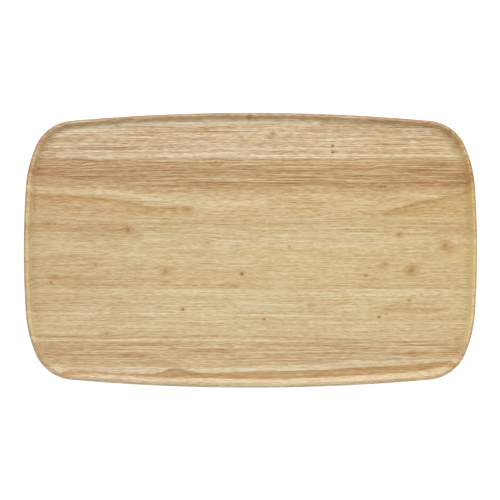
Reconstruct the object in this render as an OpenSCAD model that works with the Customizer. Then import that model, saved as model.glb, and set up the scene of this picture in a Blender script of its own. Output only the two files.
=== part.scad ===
// Low-rimmed serving tray of solid wood.
// Five staves are glued edge to edge, then the outline, the sunk floor, the rolled rim and the finger bevel
// under the edge are milled from the glued panel. All sizes are in millimetres.
// Frame: the origin is the centre of the underside, +X runs along the length, +Y to the back, +Z up.

/* [Tray] */
// Length of the tray along X
tray_l = 460; // [440:1:500]
// Width of the tray along Y
tray_w = 279; // [270:1:300]
// Height from the underside to the top of the rim
tray_h = 16; // [16:0.5:22]
// Thickness of the floor under the recess
floor_t = 10; // [8:0.5:11]

/* [Outline] */
// Radius of the two long bowed sides
long_side_r = 2030; // [1800:10:2600]
// Radius of the two short bowed sides
short_side_r = 980; // [850:10:1100]
// Radius of the tight part of each corner
corner_r = 43; // [36:1:50]
// Radius of the shoulder between a corner and the short side
shoulder_r = 130; // [110:1:150]
// Direction in which the corner hands over to the shoulder, in degrees from +X
shoulder_turn = 23; // [20:1:26]

/* [Rim] */
// Radius of the roll on the outer top edge
outer_roll_r = 3; // [2.5:0.1:4]
// Width of the level crest between the roll and the inner edge
crest_w = 0.3; // [0.1:0.1:1.5]
// Radius of the crest's inner edge
crest_r = 1.2; // [0.8:0.1:1.5]
// Steepness of the inner slope, in degrees from level
slope_angle = 62; // [50:1:70]
// Radius of the cove between the floor and the inner slope
cove_r = 2.2; // [1.5:0.1:3]
// Distance by which the recess sits off centre to the right
recess_x = 0.5; // [0:0.1:1]
// Distance by which the recess sits off centre to the back
recess_y = 0.8; // [0:0.1:1]

/* [Underside] */
// Distance from the outer edge to the flat underside
bevel_w = 11; // [9:0.5:14]
// Height of the finger bevel
bevel_h = 8; // [6:0.5:8.5]
// Radius where the bevel turns into the outer wall
waist_r = 5; // [3:0.5:5]
// Radius where the bevel meets the underside
foot_r = 2; // [1:0.5:3]

/* [Staves] */
// Place in Y of the joint between the back edge stave and the back stave
back_edge_joint = 93; // [80:1:105]
// Place in Y of the joint between the back stave and the centre stave
back_joint = 34; // [10:1:60]
// Place in Y of the joint between the centre stave and the front stave
front_joint = -39; // [-60:1:-10]
// Place in Y of the joint between the front stave and the front edge stave
front_edge_joint = -94; // [-105:1:-80]
// Thickness of the cured glue film in each joint
glue_t = 0.12; // [0.1:0.02:0.3]

/* [Hidden] */

// Facets on each round of the rim's section, and on the four arcs of a quarter of the outline
round_steps = 5;
short_steps = 3;
shoulder_steps = 5;
corner_steps = 11;
long_steps = 6;

// Room past the tray for what is cut away there
clear = 20;

// Unit vector in direction a, and direction and unit vector from point p to point q
function compass(a) = [cos(a), sin(a)];
function heading(p, q) = atan2(q.y - p.y, q.x - p.x);
function unit(p, q) = (q - p) / norm(q - p);
// The crossing of two circles that lies to the left of the way from p to q
function crossing(p, p_r, q, q_r) =
    let (d = norm(q - p), along = (d * d + p_r * p_r - q_r * q_r) / (2 * d),
         across = sqrt(p_r * p_r - along * along), u = unit(p, q))
    p + along * u + across * [-u.y, u.x];

// Centres of the four arcs of the +X +Y quarter of the outline. Each arc meets the next with a common tangent.
long_c = [0, tray_w / 2 - long_side_r];
short_c = [tray_l / 2 - short_side_r, 0];
hand_over = (shoulder_r - corner_r) * compass(shoulder_turn);
shoulder_c = crossing(short_c, short_side_r - shoulder_r, long_c - hand_over, long_side_r - corner_r);
corner_c = shoulder_c + hand_over;
// Directions in which the long side ends and in which the short side begins
long_end = heading(long_c, corner_c);
short_end = heading(short_c, shoulder_c);

// A station is a place on the outline: [centre of its arc, radius, direction from the centre]
function stations(centre, r, from, to, steps) =
    [for (k = [0 : steps - 1]) [centre, r, from + (to - from) * k / steps]];
// The point of a station at a distance in from the outer edge
function station_point(s, inset) = s[0] + (s[1] - inset) * compass(s[2]);
function across_y_axis(s) = [[-s[0].x, s[0].y], s[1], 180 - s[2]];
function across_x_axis(s) = [[s[0].x, -s[0].y], s[1], -s[2]];

// From the middle of the right side to the middle of the back, and then once round, from the middle of the front
quarter = [
    each stations(short_c, short_side_r, 0, short_end, short_steps),
    each stations(shoulder_c, shoulder_r, short_end, shoulder_turn, shoulder_steps),
    each stations(corner_c, corner_r, shoulder_turn, long_end, corner_steps),
    each stations(long_c, long_side_r, long_end, 90, long_steps),
    [long_c, long_side_r, 90]
];
right_half = [for (i = [len(quarter) - 1 : -1 : 1]) across_x_axis(quarter[i]), each quarter];
ring = [each right_half, for (i = [len(right_half) - 2 : -1 : 1]) across_y_axis(right_half[i])];

// Corners of the rim's section before rounding, as [distance in from the outer edge, height, radius]. The first
// and the last only give the direction of the underside and of the floor.
slope_top = outer_roll_r + crest_w + crest_r * tan(slope_angle / 2);
slope_foot = slope_top + (tray_h - floor_t) / tan(slope_angle);
section_corners = [
    [bevel_w + clear, 0, 0],
    [bevel_w, 0, foot_r],
    [0, bevel_h, waist_r],
    [0, tray_h, outer_roll_r],
    [slope_top, tray_h, crest_r],
    [slope_foot, floor_t, cove_r],
    [slope_foot + clear, floor_t, 0]
];
function corner_point(i) = [section_corners[i].x, section_corners[i].y];

// The points of a rounded corner, from where it leaves the side before it to where it joins the side after it
function rounded_corner(before, corner, after, r) =
    let (back = unit(corner, before), ahead = unit(corner, after), half = acos(back * ahead) / 2,
         centre = corner + r / sin(half) * unit([0, 0], back + ahead),
         start = heading(centre, corner + r / tan(half) * back),
         finish = heading(centre, corner + r / tan(half) * ahead),
         turn = finish - start - 360 * round((finish - start) / 360))
    [for (k = [0 : round_steps]) centre + r * compass(start + turn * k / round_steps)];

// The rim's section from the edge of the underside, out and up over the crest, and down to the floor
section = [
    for (i = [1 : len(section_corners) - 2])
        each rounded_corner(corner_point(i - 1), corner_point(i), corner_point(i + 1), section_corners[i].z)
];

// How far point i of the section follows the recess off centre: not at all up to the wall, then more and more over
// the outer roll, and all the way from the crest inwards
function recess_share(i) = i < 2 * (round_steps + 1) ? 0 : min(1, section[i].x / outer_roll_r);

// The whole milled panel: the section swept once round the outline, closed by the floor and the underside
module milled_panel() {
    n = len(section);
    rounds = len(ring);
    points = [
        for (s = ring, i = [0 : n - 1])
            let (q = station_point(s, section[i].x) + recess_share(i) * [recess_x, recess_y]) [q.x, q.y, section[i].y]
    ];
    rim = [
        for (k = [0 : rounds - 1], i = [0 : n - 2])
            let (here = k * n + i, next = (k + 1) % rounds * n + i)
            each [[here, here + 1, next + 1], [here, next + 1, next]]
    ];
    underside = [for (k = [0 : rounds - 1]) k * n];
    floor_face = [for (k = [rounds - 1 : -1 : 0]) k * n + n - 1];
    polyhedron(points, [each rim, underside, floor_face], convexity = 4);
}

// The strip of the milled panel between two places in Y
module strip(y_low, y_high) {
    intersection() {
        milled_panel();
        translate([-tray_l / 2 - clear, y_low, -clear])
            cube([tray_l + 2 * clear, y_high - y_low, tray_h + 2 * clear]);
    }
}

// A stave fills the room between two joints, less half a glue film at each
module stave(y_low, y_high) {
    strip(y_low + glue_t / 2, y_high - glue_t / 2);
}

module glue_film(y) {
    strip(y - glue_t / 2, y + glue_t / 2);
}

module back_edge_stave() {
    color([0.81, 0.71, 0.57]) stave(back_edge_joint, tray_w / 2 + clear);
}

module back_stave() {
    color([0.77, 0.64, 0.48]) stave(back_joint, back_edge_joint);
}

module centre_stave() {
    color([0.82, 0.71, 0.54]) stave(front_joint, back_joint);
}

module front_stave() {
    color([0.82, 0.73, 0.56]) stave(front_edge_joint, front_joint);
}

module front_edge_stave() {
    color([0.79, 0.67, 0.51]) stave(-tray_w / 2 - clear, front_edge_joint);
}

module back_edge_glue_line() {
    color([0.62, 0.48, 0.32]) glue_film(back_edge_joint);
}

module back_glue_line() {
    color([0.62, 0.48, 0.32]) glue_film(back_joint);
}

module front_glue_line() {
    color([0.62, 0.48, 0.32]) glue_film(front_joint);
}

module front_edge_glue_line() {
    color([0.62, 0.48, 0.32]) glue_film(front_edge_joint);
}

back_edge_stave();
back_stave();
centre_stave();
front_stave();
front_edge_stave();
back_edge_glue_line();
back_glue_line();
front_glue_line();
front_edge_glue_line();
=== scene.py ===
import math

import bmesh
import bpy
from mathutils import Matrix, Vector, noise


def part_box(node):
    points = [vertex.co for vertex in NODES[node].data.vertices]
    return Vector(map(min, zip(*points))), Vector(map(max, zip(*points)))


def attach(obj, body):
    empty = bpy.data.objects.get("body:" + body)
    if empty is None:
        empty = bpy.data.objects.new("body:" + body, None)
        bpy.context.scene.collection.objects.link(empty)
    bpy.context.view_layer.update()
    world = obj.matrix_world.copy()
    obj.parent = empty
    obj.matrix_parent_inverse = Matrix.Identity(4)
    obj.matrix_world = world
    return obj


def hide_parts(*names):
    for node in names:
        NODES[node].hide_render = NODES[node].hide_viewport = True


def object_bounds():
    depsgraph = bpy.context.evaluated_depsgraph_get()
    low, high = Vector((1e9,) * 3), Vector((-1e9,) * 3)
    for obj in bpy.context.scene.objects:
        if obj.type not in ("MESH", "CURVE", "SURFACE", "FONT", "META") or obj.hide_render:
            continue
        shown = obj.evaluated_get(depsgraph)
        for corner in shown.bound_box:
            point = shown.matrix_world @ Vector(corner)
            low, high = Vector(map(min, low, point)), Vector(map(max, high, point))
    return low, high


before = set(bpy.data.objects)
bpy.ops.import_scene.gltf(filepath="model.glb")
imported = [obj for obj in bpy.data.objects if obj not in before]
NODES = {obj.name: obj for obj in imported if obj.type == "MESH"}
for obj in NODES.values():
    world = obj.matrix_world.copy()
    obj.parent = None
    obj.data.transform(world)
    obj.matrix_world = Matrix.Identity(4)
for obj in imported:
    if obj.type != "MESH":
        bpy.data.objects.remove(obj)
CAD_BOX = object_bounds()

# ---------------------------------------------------------------- the shape
# The rim and the outline are swept as in the CAD model, with finer steps. Lengths are in millimetres here.
MM = 0.001
TRAY_L, TRAY_W, TRAY_H = [(high - low) / MM for low, high in zip(*CAD_BOX)]
FLOOR_T = 10
LONG_SIDE_R, SHORT_SIDE_R, CORNER_R, SHOULDER_R, SHOULDER_TURN = 2030, 980, 43, 130, 23
OUTER_ROLL_R, CREST_W, CREST_R, SLOPE_ANGLE, COVE_R = 3, 0.3, 1.2, 62, 2.2
BEVEL_W, BEVEL_H, WAIST_R, FOOT_R = 11, 8, 5, 2
RECESS_OFF_CENTRE = Vector((0.5, 0.8))
# Steps on each round of the rim's section, and on each arc of a quarter of the outline
ROUND_STEPS = 9
SHORT_STEPS, SHOULDER_STEPS, CORNER_STEPS, LONG_STEPS = 10, 14, 30, 40
# How far the section runs onto the floor and the underside, and the spacing of the grid that divides both
FLAT_MARGIN, FLAT_GRID = 2.5, 20
# The unevenness that sanding leaves on the inner slope: how far it goes sideways and down, and how long its
# waves are
SANDED_SIDEWAYS, SANDED_DOWN, SIDEWAYS_WAVE, DOWN_WAVE = 0.22, 0.16, 38, 55
# Points closer than this to a cut lie on it, in metres
CUT_TOLERANCE = 1e-7
# Edges that turn by more than this, in degrees, are shaded sharp
SHARP_ANGLE = 35


def compass(degrees):
    return Vector((math.cos(math.radians(degrees)), math.sin(math.radians(degrees))))


def heading(p, q):
    return math.degrees(math.atan2(q.y - p.y, q.x - p.x))


def crossing(p, p_r, q, q_r):
    """The crossing of two circles that lies to the left of the way from p to q."""
    d = (q - p).length
    along = (d * d + p_r * p_r - q_r * q_r) / (2 * d)
    u = (q - p) / d
    return p + along * u + math.sqrt(p_r * p_r - along * along) * Vector((-u.y, u.x))


def outline():
    """The stations once round the tray: (centre of the arc, radius, direction in degrees)."""
    long_c = Vector((0, TRAY_W / 2 - LONG_SIDE_R))
    short_c = Vector((TRAY_L / 2 - SHORT_SIDE_R, 0))
    hand_over = (SHOULDER_R - CORNER_R) * compass(SHOULDER_TURN)
    shoulder_c = crossing(short_c, SHORT_SIDE_R - SHOULDER_R, long_c - hand_over, LONG_SIDE_R - CORNER_R)
    corner_c = shoulder_c + hand_over
    short_end, long_end = heading(short_c, shoulder_c), heading(long_c, corner_c)
    arcs = [
        (short_c, SHORT_SIDE_R, 0, short_end, SHORT_STEPS),
        (shoulder_c, SHOULDER_R, short_end, SHOULDER_TURN, SHOULDER_STEPS),
        (corner_c, CORNER_R, SHOULDER_TURN, long_end, CORNER_STEPS),
        (long_c, LONG_SIDE_R, long_end, 90, LONG_STEPS),
    ]
    quarter = [(c, r, a + (b - a) * k / steps) for c, r, a, b, steps in arcs for k in range(steps)]
    quarter.append((long_c, LONG_SIDE_R, 90))
    front = [(Vector((c.x, -c.y)), r, -a) for c, r, a in quarter[:0:-1]]
    right = front + quarter
    left = [(Vector((-c.x, c.y)), r, 180 - a) for c, r, a in right[-2:0:-1]]
    return right + left


def rounded_corner(before, corner, after, radius):
    """The points of a rounded corner of the section, from the side before it to the side after it."""
    back, ahead = (before - corner).normalized(), (after - corner).normalized()
    half = back.angle(ahead) / 2
    centre = corner + radius / math.sin(half) * (back + ahead).normalized()
    start = heading(centre, corner + radius / math.tan(half) * back)
    turn = heading(centre, corner + radius / math.tan(half) * ahead) - start
    turn -= 360 * round(turn / 360)
    return [centre + radius * compass(start + turn * k / ROUND_STEPS) for k in range(ROUND_STEPS + 1)]


def section():
    """The rim's section as (distance in, height), from the underside over the crest to the floor."""
    slope = math.radians(SLOPE_ANGLE)
    slope_top = OUTER_ROLL_R + CREST_W + CREST_R * math.tan(slope / 2)
    slope_foot = slope_top + (TRAY_H - FLOOR_T) / math.tan(slope)
    # The corners before rounding. The first and the last only give a direction.
    corners = [Vector(p) for p in (
        (2 * BEVEL_W, 0), (BEVEL_W, 0), (0, BEVEL_H), (0, TRAY_H),
        (slope_top, TRAY_H), (slope_foot, FLOOR_T), (2 * slope_foot, FLOOR_T),
    )]
    points = [Vector((BEVEL_W + FLAT_MARGIN, 0))]
    for i, radius in enumerate((FOOT_R, WAIST_R, OUTER_ROLL_R, CREST_R, COVE_R)):
        points += rounded_corner(*corners[i:i + 3], radius)
    return points + [Vector((slope_foot + FLAT_MARGIN, FLOOR_T))]


def rim_point(station, i, inset, height):
    """Point i of the section at a station of the outline, with the small unevenness that sanding leaves."""
    centre, radius, direction = station
    at = centre + (radius - inset) * compass(direction)
    # The foot and the waist stay, and over the outer roll the section moves off centre with the recess
    if i > 2 * (ROUND_STEPS + 1):
        at = at + min(1, inset / OUTER_ROLL_R) * RECESS_OFF_CENTRE
    on_slope = max(0, min(1, (inset - 2.5) / 2, (height - FLOOR_T) / 1.5))
    sideways = noise.noise(Vector((at.x, at.y, 0)) / SIDEWAYS_WAVE)
    at = at + SANDED_SIDEWAYS * on_slope * sideways * compass(direction)
    lower = noise.noise(Vector((at.x, at.y, 90)) / DOWN_WAVE) + 0.5
    return Vector((at.x, at.y, height - max(0, SANDED_DOWN * on_slope * lower))) * MM


def panel():
    """The whole milled panel as one closed bmesh."""
    bm = bmesh.new()
    profile = section()
    rows = [[bm.verts.new(rim_point(station, i, *p)) for i, p in enumerate(profile)] for station in outline()]
    for here, there in zip(rows, rows[1:] + rows[:1]):
        for i in range(len(profile) - 1):
            bm.faces.new((here[i], there[i], there[i + 1], here[i + 1]))
    flats = [bm.faces.new([row[-1] for row in rows]), bm.faces.new([row[0] for row in reversed(rows)])]
    # The floor and the underside are divided into a grid
    for axis, half in ((Vector((1, 0, 0)), TRAY_L / 2), (Vector((0, 1, 0)), TRAY_W / 2)):
        steps = int(half / FLAT_GRID)
        for k in range(-steps, steps + 1):
            around = dict.fromkeys(part for face in flats for part in (*face.edges, *face.verts))
            cut = bmesh.ops.bisect_plane(bm, geom=[*flats, *around], dist=CUT_TOLERANCE,
                                         plane_co=axis * k * FLAT_GRID * MM, plane_no=axis)
            flats = [part for part in cut["geom"] if isinstance(part, bmesh.types.BMFace)]
    return bm


def strip(whole, name, y_low, y_high):
    """The piece of the panel between two places in Y, closed with a flat face at each cut."""
    bm = whole.copy()
    for y, way in ((y_low, -1), (y_high, 1)):
        if abs(y) < (TRAY_W / 2 - 0.1) * MM:
            bmesh.ops.bisect_plane(bm, geom=bm.verts[:] + bm.edges[:] + bm.faces[:], dist=CUT_TOLERANCE,
                                   plane_co=(0, y, 0), plane_no=(0, way, 0), clear_outer=True)
            bmesh.ops.edgeloop_fill(bm, edges=[e for e in bm.edges if e.is_boundary])
    bmesh.ops.recalc_face_normals(bm, faces=bm.faces)
    mesh = bpy.data.meshes.new(name)
    bm.to_mesh(mesh)
    bm.free()
    mesh.shade_smooth()
    mesh.set_sharp_from_angle(angle=math.radians(SHARP_ANGLE))
    piece = bpy.data.objects.new(name, mesh)
    bpy.context.scene.collection.objects.link(piece)
    return piece


# ---------------------------------------------------------------- numbers and patterns made by nodes
# The lines of the figure are drawn from -REACH to REACH in mm along X, just past the ends of the tray
REACH = 240


class Value:
    """A number, or a vector or colour, that the nodes work out at each point of a surface. Sums and products of
    values add nodes."""

    def __init__(self, tree, socket):
        self.tree, self.socket = tree, socket

    def math(self, operation, *others):
        return make(self.tree, "ShaderNodeMath", [self, *others], operation=operation)

    def __add__(self, other):
        return self.math("ADD", other)

    def __sub__(self, other):
        return self.math("SUBTRACT", other)

    def __mul__(self, other):
        return self.math("MULTIPLY", other)

    def __truediv__(self, other):
        return self.math("DIVIDE", other)

    def __neg__(self):
        return self.math("MULTIPLY", -1)

    __radd__, __rmul__ = __add__, __mul__

    def bell(self):
        """1 where the value is 0, and falling off to 0 about 2 away from it."""
        return (-(self * self)).math("EXPONENT")

    def rise(self, low, high):
        """0 up to low, 1 from high on, and a smooth rise between. With low above high it falls."""
        return make(self.tree, "ShaderNodeMapRange", [self, low, high], interpolation_type="SMOOTHSTEP")

    def curve(self, points, low=-150, high=150):
        """The height over this value of a smooth line through points whose heights are low to high."""
        node = self.tree.nodes.new("ShaderNodeFloatCurve")
        line = node.mapping.curves[0]
        placed = [((x + REACH) / (2 * REACH), (y - low) / (high - low)) for x, y in points]
        for _ in placed[2:]:
            line.points.new(0.5, 0.5)
        for point, place in zip(line.points, placed):
            point.location = place
        node.mapping.extend = "HORIZONTAL"
        node.mapping.update()
        put(self.tree, node.inputs["Value"], (self + REACH) / (2 * REACH))
        return Value(self.tree, node.outputs[0]) * (high - low) + low


def put(tree, socket, value):
    if isinstance(value, Value):
        tree.links.new(value.socket, socket)
    else:
        socket.default_value = value


def make(tree, kind, inputs, **settings):
    """A node with its inputs filled in order, as the Value of its first output."""
    node = tree.nodes.new(kind)
    for name, setting in settings.items():
        setattr(node, name, setting)
    for socket, value in zip(node.inputs, inputs):
        put(tree, socket, value)
    return Value(tree, node.outputs[0])


def components(tree, vector):
    """The X, Y and Z of a vector."""
    node = tree.nodes.new("ShaderNodeSeparateXYZ")
    tree.links.new(vector, node.inputs[0])
    return [Value(tree, socket) for socket in node.outputs]


def speckle(tree, vector, scale, detail, roughness=0.5):
    """Noise of 0 to 1."""
    node = tree.nodes.new("ShaderNodeTexNoise")
    for name, value in (("Vector", vector), ("Scale", scale), ("Detail", detail), ("Roughness", roughness)):
        put(tree, node.inputs[name], value)
    return Value(tree, node.outputs[0])


def grain(place, size, seed, detail=2):
    """Noise of about -1 to 1, with marks of that size along the grain, across it and through the board."""
    offset = (7.3 * seed, 3.1 * seed, 5.7 * seed)
    scaled = make(place.tree, "ShaderNodeVectorMath", [place, [1 / s for s in size], offset],
                  operation="MULTIPLY_ADD")
    return (speckle(place.tree, scaled, 1, detail, 0.55) - 0.5) * 4


def blend(tree, kind, factor, first, second):
    """Two colours mixed or multiplied by a factor, which may lie outside 0 to 1."""
    node = tree.nodes.new("ShaderNodeMix")
    node.data_type, node.blend_type, node.clamp_factor = "RGBA", kind, False
    colour_inputs = [socket for socket in node.inputs if socket.type == "RGBA"]
    put(tree, node.inputs["Factor"], factor)
    for socket, colour in zip(colour_inputs, (first, second)):
        put(tree, socket, colour)
    return Value(tree, next(socket for socket in node.outputs if socket.type == "RGBA"))


def srgb(r, g, b):
    return [((c / 255 + 0.055) / 1.055) ** 2.4 for c in (r, g, b)] + [1]


def colour_ramp(tree, value, stops):
    """The colour at a value, between stops given as (value, colour)."""
    node = tree.nodes.new("ShaderNodeValToRGB")
    for _ in stops[2:]:
        node.color_ramp.elements.new(0.5)
    for element, (at, colour) in zip(node.color_ramp.elements, stops):
        element.position, element.color = at, srgb(*colour)
    put(tree, node.inputs[0], value)
    return Value(tree, node.outputs["Color"])


def knot_group():
    """Node group: how the grain runs round a knot and how dark it is there, for any place and radius."""
    tree = bpy.data.node_groups.new("knot", "ShaderNodeTree")
    for name in ("along", "across", "at along", "at across", "radius"):
        tree.interface.new_socket(name, in_out="INPUT", socket_type="NodeSocketFloat")
    for name in ("shift", "core", "halo", "rings"):
        tree.interface.new_socket(name, in_out="OUTPUT", socket_type="NodeSocketFloat")
    given = tree.nodes.new("NodeGroupInput").outputs
    along, across, at_along, at_across, radius = [Value(tree, given[k]) for k in range(5)]
    dx, dy = (along - at_along) / radius, (across - at_across) / radius
    dx2, dy2 = dx * dx, dy * dy
    shift = dy * radius * -0.8 * (-(dx2 * 0.1 + dy2 * 0.3)).math("EXPONENT")
    core = (-(dx2 * 1.1 + dy2 * 1.6)).math("EXPONENT")
    halo = (-(dx2 * 0.2 + dy2 * 0.4)).math("EXPONENT")
    rings = ((dx2 * 0.4 + dy2).math("SQRT") * 5.5).math("COSINE") * halo
    out = tree.nodes.new("NodeGroupOutput").inputs
    for k, value in enumerate((shift, core, halo, rings)):
        put(tree, out[k], value)
    return tree


KNOT = knot_group()


def knot(x, across, at_x, at_y, radius):
    """The shift, core, halo and rings of one knot."""
    node = x.tree.nodes.new("ShaderNodeGroup")
    node.node_tree = KNOT
    for socket, value in zip(node.inputs, (x, across, at_x, at_y, radius)):
        put(x.tree, socket, value)
    return [Value(x.tree, socket) for socket in node.outputs]


def material(name):
    made = bpy.data.materials.new(name)
    made.use_nodes = True
    tree = made.node_tree
    shader = next(n for n in tree.nodes if n.type == "BSDF_PRINCIPLED")
    return made, tree, shader


# ---------------------------------------------------------------- the wood
# Its own colours from dark latewood to pale sapwood. A tone is named by the red level of its colour.
TONES = [
    (120, 80, 47), (150, 109, 71), (170, 127, 86), (182, 142, 101), (191, 154, 113),
    (200, 168, 127), (207, 180, 141), (214, 191, 153), (222, 203, 169), (240, 227, 202),
]
# The tint of the coolest wood
COOL = (1, 1.03, 1.16, 1)
# Sizes of the marks in mm, along the grain, across it and through the board
WANDER_SIZE, RIPPLE_SIZE = (150, 46, 46), (30, 9, 9)
DASH_W, LINE_SIZE, FINE_SIZE, PORE_SIZE = 0.66, (70, 0.72, 0.72), (7, 0.45, 0.45), (5, 0.5, 0.5)
BROAD_SIZE, CLOUD_SIZE, TINT_SIZE = (300, 7, 7), (60, 20, 20), (90, 16, 16)
# How the tone changes from one end of the tray to the other
TONE_ALONG = [(-240, -3), (-120, 1), (0, 4), (120, 4), (240, -1)]
# How softly streaks and fills end, in mm along X, and how far they and the knots follow the wandering grain
STREAK_END, FILL_END = 6, 8
FIGURE_WANDER, KNOT_WANDER = 0.35, 0.3
OILED_ROUGHNESS, OILED_SPECULAR, BUMP_DEPTH = 0.55, 0.22, 0.00003


def level_line(y, start=-REACH, end=REACH):
    return [(start, y), (end, y)]


def between_ends(x, points, soft):
    """1 between the ends of a line through points, and 0 past them."""
    start, end = points[0][0], points[-1][0]
    return x.rise(start - soft, start + soft) * x.rise(end + soft, end - soft)


def figure(x, across, wander, yellow, lines, streaks, fills, knots):
    """What the knots, streaks and fills of a stave add up to: how dark it is, how yellow, how strong its long
    lines are, how far the grain runs aside and how much it is a knot's halo."""
    dark, shift, halos = 0, 0, 0
    knot_across = across + wander * KNOT_WANDER
    for at_x, at_y, radius, core, halo, rings in knots:
        knot_shift, knot_core, knot_halo, knot_rings = knot(x, knot_across, at_x, at_y, radius)
        shift = shift + knot_shift
        halos = halos + knot_halo
        dark = dark + knot_core * core + knot_halo * halo + knot_rings * rings
        yellow = yellow + knot_halo * 0.2
    edge = across + wander * FIGURE_WANDER
    for points, width, tone, more_yellow in streaks:
        mask = ((edge - x.curve(points)) / width).bell() * between_ends(x, points, STREAK_END)
        dark = dark - mask * tone
        yellow = yellow + mask * more_yellow
    for upper, lower, soft_upper, soft_lower, tone, more_yellow, more_lines in fills:
        mask = (edge - x.curve(upper)).rise(soft_upper, -soft_upper)
        mask = mask * (edge - x.curve(lower)).rise(-soft_lower, soft_lower) * between_ends(x, upper, FILL_END)
        dark = dark - mask * tone
        yellow = yellow + mask * more_yellow
        lines = lines + mask * more_lines
    return dark, yellow, lines, shift, halos


def rim_faces(tree, x, y, z):
    """How much a point lies on the rim's outer face, its inner slope, its crest and its cove, and how much end
    grain shows there."""
    facing_x, facing_y, _ = components(tree, tree.nodes.new("ShaderNodeNewGeometry").outputs["Normal"])
    outward = facing_x * x / (TRAY_L / 2) + facing_y * y / (TRAY_W / 2)
    top = z.rise(TRAY_H - 0.9, TRAY_H - 0.2) * outward.rise(0.5, 0.1)
    cove = z.rise(FLOOR_T + 0.05, FLOOR_T + 0.7) * z.rise(FLOOR_T + 4, FLOOR_T + 1.5)
    return outward.rise(0.15, 0.7), outward.rise(-0.15, -0.7), top, cove, facing_x * facing_x


def wood(name, tone, yellow, tilt, seed, dashes, dash_l, lines, streaks, knots, fills=(),
         outer=(-18, -0.7), inner=(7, 0.5), crest=(9, 0.3), warm=(1, 0.99, 0.8)):
    """Oiled wood of one stave. Streaks are (points, width, tone, yellow), fills (upper points, lower points,
    softness above, softness below, tone, yellow, lines) and knots (x, y, radius, core, halo, rings), in mm.
    Outer, inner and crest are the tone and yellow that these faces of the rim have more of: painted light,
    shade and sheen for how the light falls on each face, on the inner slope partly with the end grain's own
    colour. Warm is the tint of the yellowest wood."""
    made, tree, shader = material(name)
    place = tree.nodes.new("ShaderNodeTexCoord").outputs["Object"]
    x, y, z = [length * (1 / MM) for length in components(tree, place)]

    # The figure lies in the board at a slant, so it moves sideways on the slopes of the rim
    across = y + (z - FLOOR_T) * tilt
    straight = make(tree, "ShaderNodeCombineXYZ", [x, across, z])
    wander = grain(straight, WANDER_SIZE, seed) + grain(straight, RIPPLE_SIZE, seed + 1) * 0.25
    dark, yellowness, line_depth, shift, halos = figure(
        x, across, wander, yellow, lines, streaks, fills, knots)
    bent = make(tree, "ShaderNodeCombineXYZ", [x, across + wander + shift, z])
    out_face, slope, top, cove, end_grain = rim_faces(tree, x, y, z)

    # Pale marks are weaker than dark ones, and all marks fade round the knots and on end grain
    marks = grain(bent, (dash_l, DASH_W, DASH_W), seed + 2, 1) * dashes
    marks = marks + grain(bent, LINE_SIZE, seed + 3, 1) * line_depth
    marks = marks.math("MINIMUM", marks * 0.8)
    marks = marks * (halos.rise(0, 1.2) * -0.6 + 1) * (end_grain.rise(0.6, 0.1) * 0.7 + 0.3)
    fine = grain(bent, FINE_SIZE, seed + 4, 3) * end_grain.rise(0.8, 0.1)
    pores = grain(bent, PORE_SIZE, seed + 5, 1).rise(0.55, 1.1)
    broad = grain(bent, BROAD_SIZE, seed + 6) * 3 + grain(straight, CLOUD_SIZE, seed + 7) * 1.6
    broad = broad + x.curve(TONE_ALONG, -10, 10)

    level = broad + marks + fine * 1.8 - pores * 6 - dark + tone
    # Painted shade darkens the cove, and painted light and shade make the crest, the outer face and the inner
    # slope lighter or darker
    level = level - cove * 3 + top * crest[0] + out_face * outer[0] + slope * inner[0]
    warmth = yellowness + grain(straight, TINT_SIZE, seed + 8) * 0.15 + x * 0.0015
    # Painted shade and sheen also change the yellow of the outer face, the crest and the inner slope; end grain
    # makes the slope a little yellower
    warmth = warmth + out_face * outer[1] + top * crest[1] + slope * (inner[1] + end_grain * 0.1)
    low, high = TONES[0][0], TONES[-1][0]
    toned = colour_ramp(tree, (level - low) / (high - low), [((t[0] - low) / (high - low), t) for t in TONES])
    tint = blend(tree, "MIX", warmth * 0.5 + 0.5, COOL, (*warm, 1))
    put(tree, shader.inputs["Base Color"], blend(tree, "MULTIPLY", 1, toned, tint))

    roughness = fine * 0.03 + pores * 0.12 + dark * 0.003 + OILED_ROUGHNESS
    put(tree, shader.inputs["Roughness"], roughness)
    shader.inputs["Specular IOR Level"].default_value = OILED_SPECULAR
    bump = tree.nodes.new("ShaderNodeBump")
    bump.inputs["Strength"].default_value = 1
    bump.inputs["Distance"].default_value = BUMP_DEPTH
    put(tree, bump.inputs["Height"], marks * 0.06 + fine * 0.2 - pores * 0.8)
    tree.links.new(bump.outputs[0], shader.inputs["Normal"])
    return made


def glue():
    """Cured glue in a joint, as seen edge on: light brown, with a little wood dust in it."""
    made, tree, shader = material("glue_film")
    place = Value(tree, tree.nodes.new("ShaderNodeTexCoord").outputs["Object"])
    dust = speckle(tree, place, 900, 3)
    brown = colour_ramp(tree, dust, [(0.3, (172, 136, 96)), (0.7, (198, 166, 126))])
    put(tree, shader.inputs["Base Color"], brown)
    put(tree, shader.inputs["Roughness"], dust * 0.3 + 0.35)
    return made


# The brown band along the front: its upper side, with a hump, and its lower side, in mm
FRONT_BAND_TOP = [(-190, -122.3), (-158, -123.8), (-112, -125.5), (-92, -124), (-78, -119.5), (-62, -122.5),
                  (-45, -125), (-10, -123.5), (61, -121.8), (112, -118.5), (152, -117), (198, -113),
                  (240, -112)]
FRONT_BAND_FOOT = [(-240, -125), (-160, -125.5), (-112, -128.5), (-60, -130), (0, -131), (100, -127.5),
                   (170, -122.8), (200, -117.3), (218, -114), (240, -110)]

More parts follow.
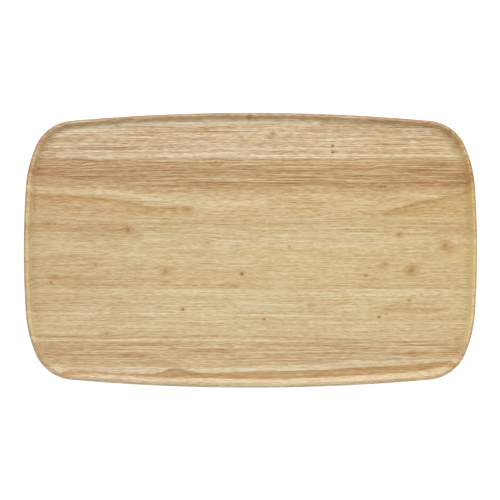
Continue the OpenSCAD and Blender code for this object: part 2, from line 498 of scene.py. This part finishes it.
WOODS = {
    "back_edge_stave": dict(
        tone=207, yellow=0.05, tilt=-0.35, seed=11, dashes=26, dash_l=7, lines=29,
        outer=(-30, -1.2), inner=(-1, 0.6), crest=(-7, -0.5), warm=(1, 0.96, 0.81),
        # Outer, inner and crest paint the light, shade and sheen on the faces of the back rim
        streaks=[
            (level_line(96.3), 1.8, 13, 0), (level_line(96.3, -170, 110), 1.8, 6, 0),
            ([(-120, 103), (0, 104), (120, 103)], 3, 5, 0),
            ([(100, 110), (150, 104), (190, 101)], 3, 4, 0),
            ([(-60, 120), (20, 122), (70, 121)], 2, -4, 0),
            ([(-200, 116), (-160, 124), (-120, 127.5), (-60, 129.5), (72, 129.5)], 2.5, 23, 0),
            ([(84, 131.8), (116, 131.4)], 1.5, 12, 0), ([(158, 102.5), (195, 102)], 2.5, -7, 0),
        ],
        knots=[
            (22.5, 118.5, 2.6, 20, 7, 4), (-1, 133.5, 2.2, 18, 6, 0), (83.5, 106, 1.2, 75, 8, 0),
            (83.5, 99.5, 1.2, 85, 8, 0), (-205, 96.5, 2, 8, 4, 0), (202, 119, 3, 8, 6, 3),
            (210, 108, 3, 8, 6, 3),
        ]),
    "back_stave": dict(
        tone=209.5, yellow=0.75, tilt=-0.4, seed=23, dashes=21, dash_l=7, lines=17, warm=(1, 0.968, 0.81),
        fills=[
            (level_line(93.5), [(-240, 74), (-150, 71), (-81, 67), (-40, 66), (60, 66), (240, 66)],
             0.5, 3, -9.5, -0.35, 22),
            (level_line(88), [(-240, 72), (-150, 69), (-81, 65), (0, 64), (240, 66)], 3, 3, -6, 0, 4),
            (level_line(68), [(-240, 64), (-100, 60), (0, 58), (80, 57), (140, 58), (240, 61)],
             4, 4, -13, -0.1, 0),
            ([(-240, 56.5), (-183, 55.5), (-147, 52.5), (-121, 48.5), (-95, 43.5), (-73, 44.5), (-62, 43.5)],
             [(-240, 40), (-62, 34)], 1, 4, -5.5, 0.1, -13),
            ([(132, 34), (146, 41), (172, 48.8), (203, 55), (240, 62)], level_line(33), 1, 2, -5, 0.3, -6),
        ],
        streaks=[
            ([(-240, 78), (-150, 74), (-81, 69.5), (-56, 68.5), (60, 68), (240, 68.5)], 1.6, -9, 0),
            ([(-20, 69), (40, 69), (80, 69)], 2, 8, 0),
            ([(-240, 79), (-150, 77), (0, 75.5), (240, 75.5)], 2.5, -5, 0.1),
            ([(-240, 63), (-183, 62), (-126, 57), (-91, 51), (-51, 48), (20, 51)], 3.2, 10, 0),
            ([(-240, 55.5), (-183, 54.5), (-147, 51), (-121, 47), (-95, 41.8), (-73, 43), (-60, 41)],
             2, -12, 0.2),
            ([(126, 31), (146, 40.5), (172, 48), (203, 54.2), (225, 59.8), (240, 62)], 1.8, -14, 0.2),
            ([(136, 33), (165, 41.5), (200, 47.5)], 1.2, -8, 0),
            ([(20, 57), (60, 58), (110, 57)], 4, 3, 0), (level_line(83.5, -190, -125), 2, -7, 0),
            (level_line(75.8, -105, -45), 3, 6, 0), (level_line(62.5, -120, -50), 3, 6, 0),
            (level_line(69, -240, -165), 3, -7, 0), (level_line(71.5, 160), 5, -7, 0),
            (level_line(92.4), 0.7, -8, 0), (level_line(88.6), 0.6, -8, 0), (level_line(85.8), 0.6, -8, 0),
            (level_line(83), 0.6, -7, 0), (level_line(80.4), 0.6, -8, 0),
        ],
        knots=[
            (-35, 89.5, 3.4, 6, 4, 7), (-174, 90.5, 3.4, 4, 3, 6), (118, 89, 4, 3, 2, 5),
            (-64, 41.5, 4.5, 6, 4, 0), (163, 44.5, 4, 2, 2, 4), (133.5, 64.8, 1.2, 42, 3, 0),
            (137, 64.6, 1.3, 42, 3, 0),
        ]),
    "centre_stave": dict(
        tone=212, yellow=0.35, tilt=0.45, seed=37, dashes=17, dash_l=6.5, lines=14,
        fills=[
            (level_line(50), level_line(18), 1, 3, -4, 0.1, 3),
            ([(-240, 31), (-170, 29.5), (-120, 27)], [(-240, 20), (-170, 19.5), (-118, 18.5)],
             1, 2, -5, 0, 4),
            ([(-240, -6), (-122, -6), (-86, 0), (-51, 2.5), (91, 2.5), (127, 5), (240, 6)], level_line(-60),
             1.5, 1, -2, 0.3, 0),
            ([(-240, -6), (-150, -8), (-105, -14)], level_line(-38), 3, 1, -2, -0.1, 3),
            ([(100, 0), (150, -3), (190, -4)], [(100, -30), (150, -30), (190, -30)], 6, 6, -2, 0, 0),
            (level_line(30, -110, 150), level_line(8, -110, 150), 2, 2, 0, 0, 9),
        ],
        streaks=[
            ([(-240, 27), (-150, 25.6), (-60, 26.5), (0, 26), (110, 26.5), (240, 27)], 0.9, -9, 0),
            ([(-240, 19.5), (-170, 20), (-128, 20.5)], 0.8, -8, 0),
            ([(-240, 24), (-180, 23.4), (-130, 21.5)], 0.7, -7, 0),
            ([(150, 23.5), (200, 23), (240, 22.5)], 1.1, -8, 0),
            ([(-225, -8.5), (-177, -6)], 0.8, -8, 0),
            ([(-240, -29), (-100, -29.5), (20, -29)], 0.8, -8, 0),
            ([(-240, -35), (-60, -35.6), (60, -36), (240, -35)], 0.9, -9, 0),
            (level_line(-38.4), 0.6, -9, 0), ([(-240, -28.2), (-195, -28.2)], 0.6, -10, 0),
            ([(-240, -9.5), (-180, -9), (-120, -8)], 0.7, -7, 0),
            (level_line(14, -240, -110), 4, -7, 0), (level_line(19, 190, 240), 5, -6, 0),
        ],
        knots=[
            (-124.5, 20.8, 3.2, 30, 11, 5), (-205, 27, 3.5, 8, 4, 5), (-5, 31, 1.2, 18, 4, 0),
            (-44, 7.5, 4, 7, 7, 3), (39.4, 3.8, 1.7, 30, 6, 0), (151.5, 15.3, 2.3, 20, 7, 3),
            (198, 5.2, 3.9, 18, 12, 6),
            (203, -1, 3, 9, 4, 0), (137, -13.7, 2.2, 22, 6, 0), (134, -17, 3.5, 7, 4, 0),
            (163.5, -20.4, 4.3, 24, 14, 6), (117.2, -25.8, 1.8, 28, 5, 0), (-8.6, -24, 2, 52, 10, 0),
            (-86.2, -21.8, 3, 22, 9, 3), (-157, -14.8, 1.5, 20, 4, 0), (-161.5, -18.5, 1.6, 10, 3, 0),
            (-202.5, -32.8, 1.4, 40, 5, 0), (-197.5, -27.3, 2.3, 14, 5, 0), (-15, -37, 2.5, 11, 4, 3),
        ]),
    "front_stave": dict(
        tone=211, yellow=0.4, tilt=-0.3, seed=51, dashes=18, dash_l=6.5, lines=16,
        fills=[
            ([(-240, -50), (-142, -51), (-120, -54)], level_line(-63), 2, 2, -5, 0, 0),
            ([(20, -56), (150, -58), (240, -56)], level_line(-68), 3, 3, -2, 0.1, 0),
            (level_line(-85), level_line(-105), 2, 1, -3, -0.1, 2),
            ([(130, -60.5), (160, -56.5), (195, -58.5)], [(130, -61.5), (160, -64.5), (195, -62.5)],
             1, 1, -4, 0, 3),
        ],
        streaks=[
            (level_line(-41, -150), 1.6, 3, 0), (level_line(-44.5, -170), 3.5, 4, -0.1),
            (level_line(-70.5, -85, 35), 2.5, 5, 0),
            ([(84, -62.5), (105, -60.5), (128, -59.5)], 2.6, 7, 0),
            ([(-15, -54), (20, -55.5), (51, -57)], 1.8, 7, -0.2),
            ([(-240, -64.4), (-150, -64.4), (-60, -65), (20, -66), (120, -68)], 0.8, 14, 0),
            ([(70, -74), (150, -73.5), (240, -74.3)], 0.8, 13, 0),
            ([(135, -58), (160, -54.5), (185, -55.5), (200, -59)], 0.8, -8, 0),
            ([(135, -60), (160, -63), (185, -62.5), (200, -60)], 0.8, -8, 0),
            ([(-240, -88.5), (-193, -88), (-147, -89.5), (-100, -88), (20, -88), (100, -91), (188, -95)],
             0.7, -15, 0),
            ([(-240, -91), (-150, -91.6), (-60, -91), (20, -91.4)], 1, 15, 0),
        ],
        knots=[
            (-68.6, -60, 1.4, 62, 6, 0), (14, -70, 1.3, 48, 5, 0), (60, -55.7, 1.2, 24, 3, 0),
            (64, -55.7, 1.2, 24, 3, 0), (130.5, -67.9, 1.4, 50, 5, 0), (138, -64.7, 1.4, 24, 4, 0),
            (161.5, -51, 2, 20, 6, 3),
            (173, -45, 1.6, 10, 4, 0), (-146, -84.8, 2.8, 18, 8, 5), (209.5, -91, 2.2, 14, 6, 3),
        ]),
    "front_edge_stave": dict(
        tone=205, yellow=0.35, tilt=0.35, seed=67, dashes=19, dash_l=7, lines=30,
        # Outer, inner and crest paint the light, shade and sheen on the faces of the front rim
        outer=(-6, -0.6), inner=(3, -0.5), crest=(-1, 0), warm=(1, 0.965, 0.81),
        fills=[
            ([(-240, -115.2), (76, -115.2), (106, -112), (152, -111.5), (198, -109), (240, -108)],
             FRONT_BAND_TOP, 0.8, 0.6, 13, -0.2, -14),
            (FRONT_BAND_TOP, FRONT_BAND_FOOT, 0.6, 0.8, -14, 0.1, -8),
            (FRONT_BAND_FOOT, level_line(-170), 0.8, 2, 10, -0.2, -12),
        ],
        streaks=[
            ([(-240, -100), (-100, -101), (240, -99)], 0.9, -6, 0),
            ([(-240, -105.5), (0, -105.8), (240, -103)], 0.7, -12, 0),
            ([(-240, -96.3), (0, -96.8), (240, -96)], 0.8, -6, 0),
            ([(75, -104.5), (125, -104)], 1.6, -9, 0), ([(122, -131.7), (165, -128.7)], 1.6, -9, 0),
            (level_line(-135.6, -30, 35), 1.2, 12, 0),
        ],
        knots=[(-21, -98, 2.2, 10, 5, 4), (165, -105.5, 2.5, 10, 5, 4)]),
}

# ---------------------------------------------------------------- the pieces
GLUE_FILM = glue()
whole = panel()
for node in sorted(NODES):
    low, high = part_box(node)
    piece = strip(whole, node.replace("_stave", "_board").replace("_glue_line", "_joint"), low.y, high.y)
    if node.endswith("_stave"):
        piece.data.materials.append(wood(node.replace("_stave", "_oiled"), **WOODS[node]))
    else:
        piece.data.materials.append(GLUE_FILM)
    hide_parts(node)
    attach(piece, "root")
whole.free()

# ---------------------------------------------------------------- floor, light and camera, in metres
# The floor glows a little, like a lit table, and lies just under the tray
FLOOR_GLOW, FLOOR_LEVEL, FLOOR_HALF_W, FLOOR_CELLS = 0.82, -0.0003, 15, 24
LIGHT_DISTANCE, LIGHT_SIZE, SKY_LIGHT = 3, 1.8, 0.56
VIEW_W, SENSOR_W, LENS = 0.5075, 36, 177
VIEW_OFF_CENTRE, VIEW_LEVEL = (-0.0004, 0.0002), 0.012


def floor():
    """A plain white studio floor."""
    bm = bmesh.new()
    bmesh.ops.create_grid(bm, x_segments=FLOOR_CELLS, y_segments=FLOOR_CELLS, size=FLOOR_HALF_W)
    mesh = bpy.data.meshes.new("studio_floor")
    bm.to_mesh(mesh)
    bm.free()
    made, tree, shader = material("studio_paper")
    mottle = speckle(tree, Value(tree, tree.nodes.new("ShaderNodeTexCoord").outputs["Object"]), 40, 4)
    put(tree, shader.inputs["Roughness"], mottle * 0.1 + 0.85)
    shader.inputs["Base Color"].default_value = (0.4, 0.4, 0.4, 1)
    shader.inputs["Specular IOR Level"].default_value = 0
    shader.inputs["Emission Color"].default_value = (1, 1, 1, 1)
    shader.inputs["Emission Strength"].default_value = FLOOR_GLOW
    mesh.materials.append(made)
    made_floor = bpy.data.objects.new("studio_floor", mesh)
    made_floor.location.z = FLOOR_LEVEL
    bpy.context.scene.collection.objects.link(made_floor)


def soft_light(name, azimuth, elevation, share):
    """A square soft light. Azimuth is from +X towards +Y. Share is its part of the light on the floor."""
    data = bpy.data.lights.new(name, "AREA")
    data.shape, data.size = "SQUARE", LIGHT_SIZE
    level = math.sin(math.radians(elevation))
    data.energy = share * math.pi ** 2 * LIGHT_DISTANCE ** 2 / level
    lamp = bpy.data.objects.new(name, data)
    flat = compass(azimuth) * math.cos(math.radians(elevation))
    lamp.location = Vector((flat.x, flat.y, level)) * LIGHT_DISTANCE
    lamp.rotation_mode = "QUATERNION"
    lamp.rotation_quaternion = (-lamp.location).to_track_quat("-Z", "Y")
    bpy.context.scene.collection.objects.link(lamp)


def sky():
    """Even white light from all round."""
    world = bpy.data.worlds.new("studio")
    world.use_nodes = True
    background = world.node_tree.nodes["Background"]
    background.inputs["Color"].default_value = (1, 1, 1, 1)
    background.inputs["Strength"].default_value = SKY_LIGHT
    bpy.context.scene.world = world


def camera():
    """Straight above the tray, with +Y up in the picture, which shows VIEW_W at VIEW_LEVEL."""
    made = bpy.data.objects.new("camera", bpy.data.cameras.new("camera"))
    made.data.sensor_width, made.data.lens = SENSOR_W, LENS
    made.data.clip_start, made.data.clip_end = 0.05, 60
    made.location = (*VIEW_OFF_CENTRE, VIEW_LEVEL + VIEW_W * LENS / SENSOR_W)
    bpy.context.scene.collection.objects.link(made)
    bpy.context.scene.camera = made


floor()
soft_light("left_softbox", 142, 35, 0.19)
soft_light("right_softbox", 38, 35, 0.19)
soft_light("back_softbox", 90, 30, 0.08)
sky()
camera()
bpy.context.scene.view_settings.view_transform = "Standard"
